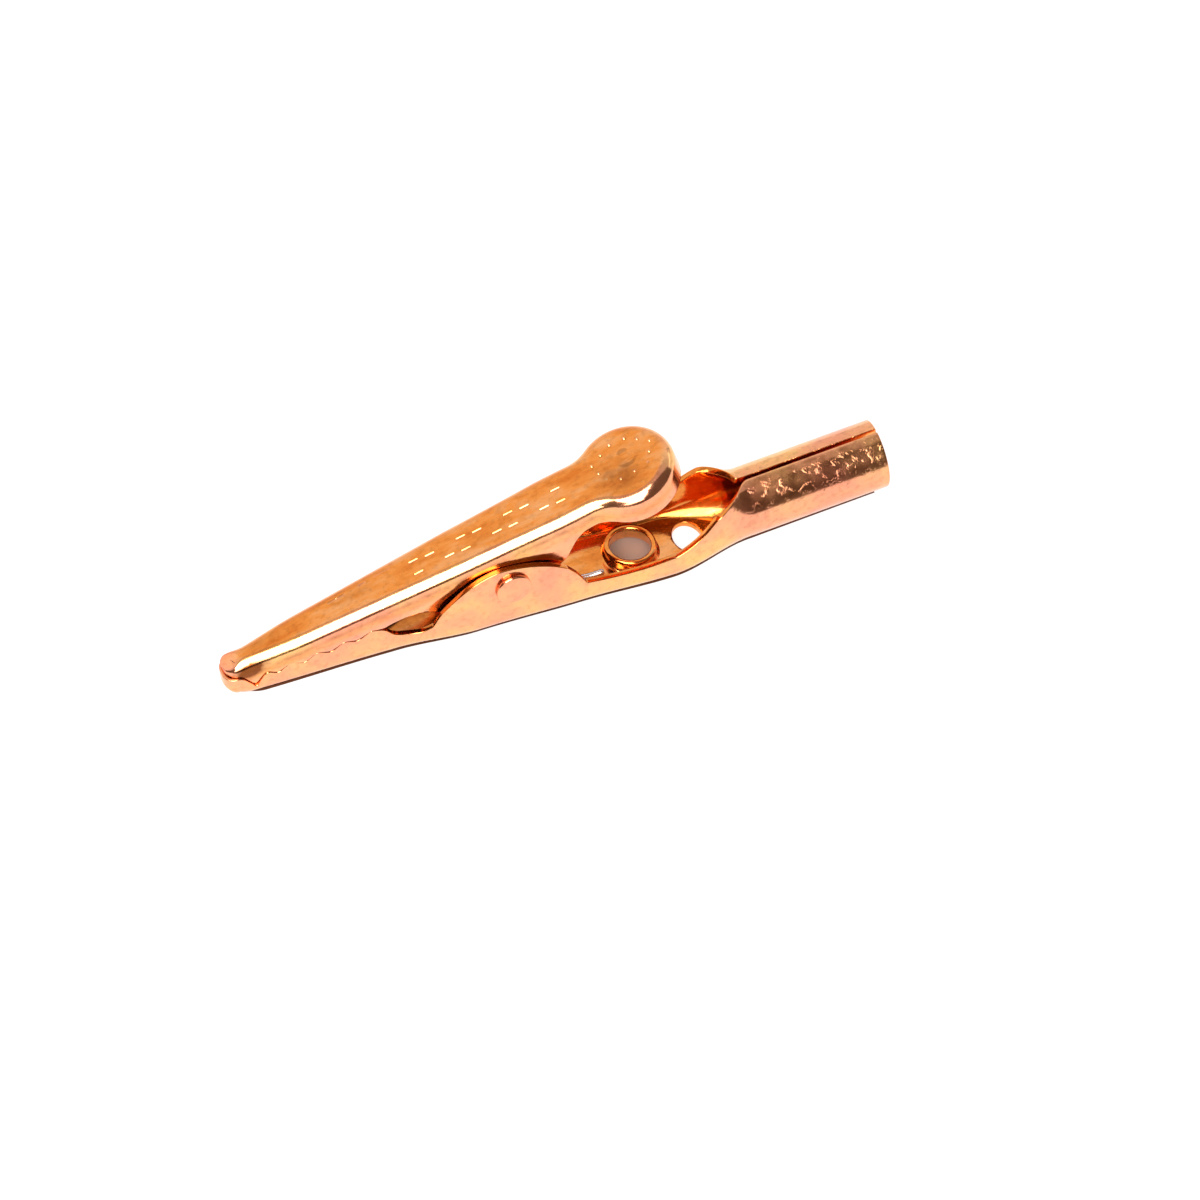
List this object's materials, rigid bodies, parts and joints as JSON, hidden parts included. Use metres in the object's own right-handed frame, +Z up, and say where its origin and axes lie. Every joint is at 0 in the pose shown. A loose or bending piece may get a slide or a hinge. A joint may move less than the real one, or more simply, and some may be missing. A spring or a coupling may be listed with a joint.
{
  "type": "alligator clip",
  "caption": "Copper spring clip with meshing toothed jaws, a round thumb pad and a rolled barrel that takes a wire or a 4 mm plug.",
  "frame": {"origin": "middle of the bounding box, on the table that the clip lies on", "axes": "+X along the length from the jaw tip to the wire barrel, +Y across the jaws, +Z up from the table to the thumb pad"},
  "size_m": [0.0502, 0.0072, 0.0116],
  "materials": {
    "copper": "bright copper, lightly polished, with faint tumbling marks",
    "rivet_copper": "bright copper, dulled by the rivet tool",
    "spring_steel": "bright drawn wire"
  },
  "bodies": {
    "lower": {"lower_jaw": "copper", "pivot_rivet": "rivet_copper", "torsion_spring": "spring_steel"},
    "upper": {"upper_jaw": "copper"}
  },
  "joints": [
    {"name": "jaw_hinge", "type": "hinge", "parent": "lower", "child": "upper", "pos_m": [-0.0039, 0, 0.00475], "axis": [0, 1, 0], "range_deg": [0, 18], "stiffness_Nm_per_rad": 0.06, "springref_deg": -45.84, "deforming": ["torsion_spring"]}
  ]
}
